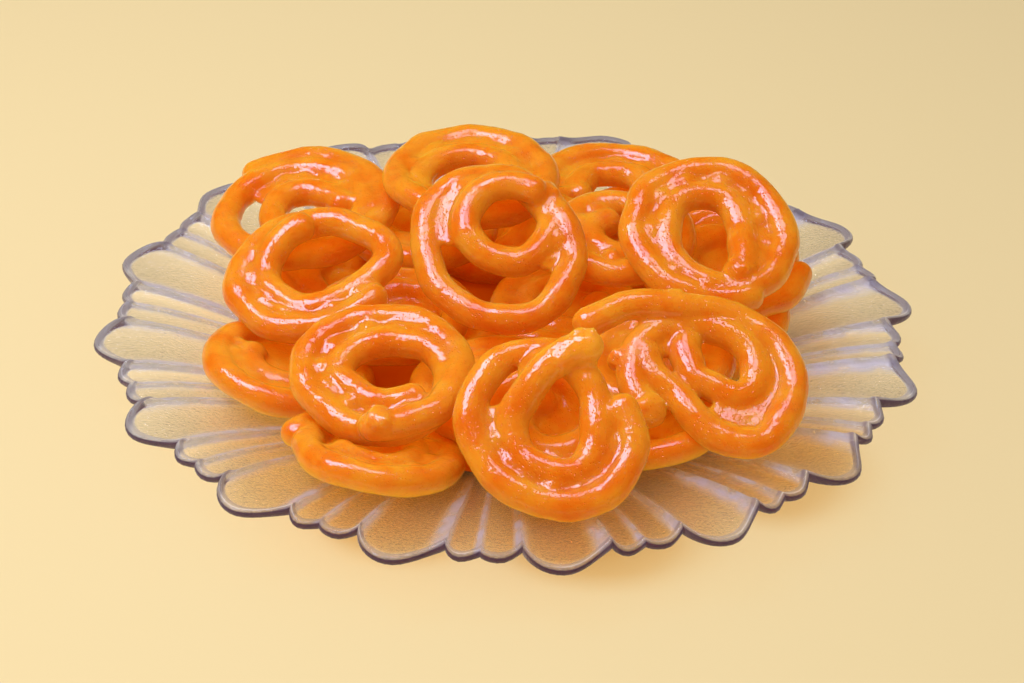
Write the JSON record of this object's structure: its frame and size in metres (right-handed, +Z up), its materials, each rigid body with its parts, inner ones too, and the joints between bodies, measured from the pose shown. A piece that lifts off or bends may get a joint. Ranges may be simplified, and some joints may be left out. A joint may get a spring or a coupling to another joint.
{
  "type": "plate of jalebi sweets",
  "caption": "Heap of glossy fried spiral sweets in orange syrup on a round scalloped plate of pressed clear glass with radiating petal ridges.",
  "frame": {"origin": "centre of the plate's flat foot, on the plane the plate stands on", "axes": "+Z up, across the heap's height; -Y is the front, where the lowest jalebis lean toward; +X is to the right seen from the front"},
  "size_m": [0.2966, 0.2966, 0.0703],
  "materials": {
    "clear_glass": "clear, pressed, with a fine pebbled underside",
    "jalebi_orange": "translucent orange fried batter with a wet syrup gloss"
  },
  "bodies": {
    "root": {"jalebi_floor_right": "jalebi_orange", "jalebi_floor_front_right": "jalebi_orange", "jalebi_floor_front_left": "jalebi_orange", "jalebi_floor_left": "jalebi_orange", "jalebi_floor_back_left": "jalebi_orange", "jalebi_floor_back": "jalebi_orange", "jalebi_floor_back_right": "jalebi_orange", "jalebi_floor_middle": "jalebi_orange", "jalebi_low_middle": "jalebi_orange", "jalebi_low_right": "jalebi_orange", "jalebi_low_front": "jalebi_orange", "jalebi_low_left": "jalebi_orange", "jalebi_low_back": "jalebi_orange", "jalebi_under_front": "jalebi_orange", "jalebi_under_front_right": "jalebi_orange", "jalebi_front": "jalebi_orange", "jalebi_front_left": "jalebi_orange", "jalebi_front_right": "jalebi_orange", "jalebi_back_left": "jalebi_orange", "jalebi_left": "jalebi_orange", "jalebi_back_right": "jalebi_orange", "jalebi_between": "jalebi_orange", "jalebi_right": "jalebi_orange", "jalebi_top": "jalebi_orange", "jalebi_crown": "jalebi_orange", "plate": "clear_glass"}
  },
  "joints": []
}
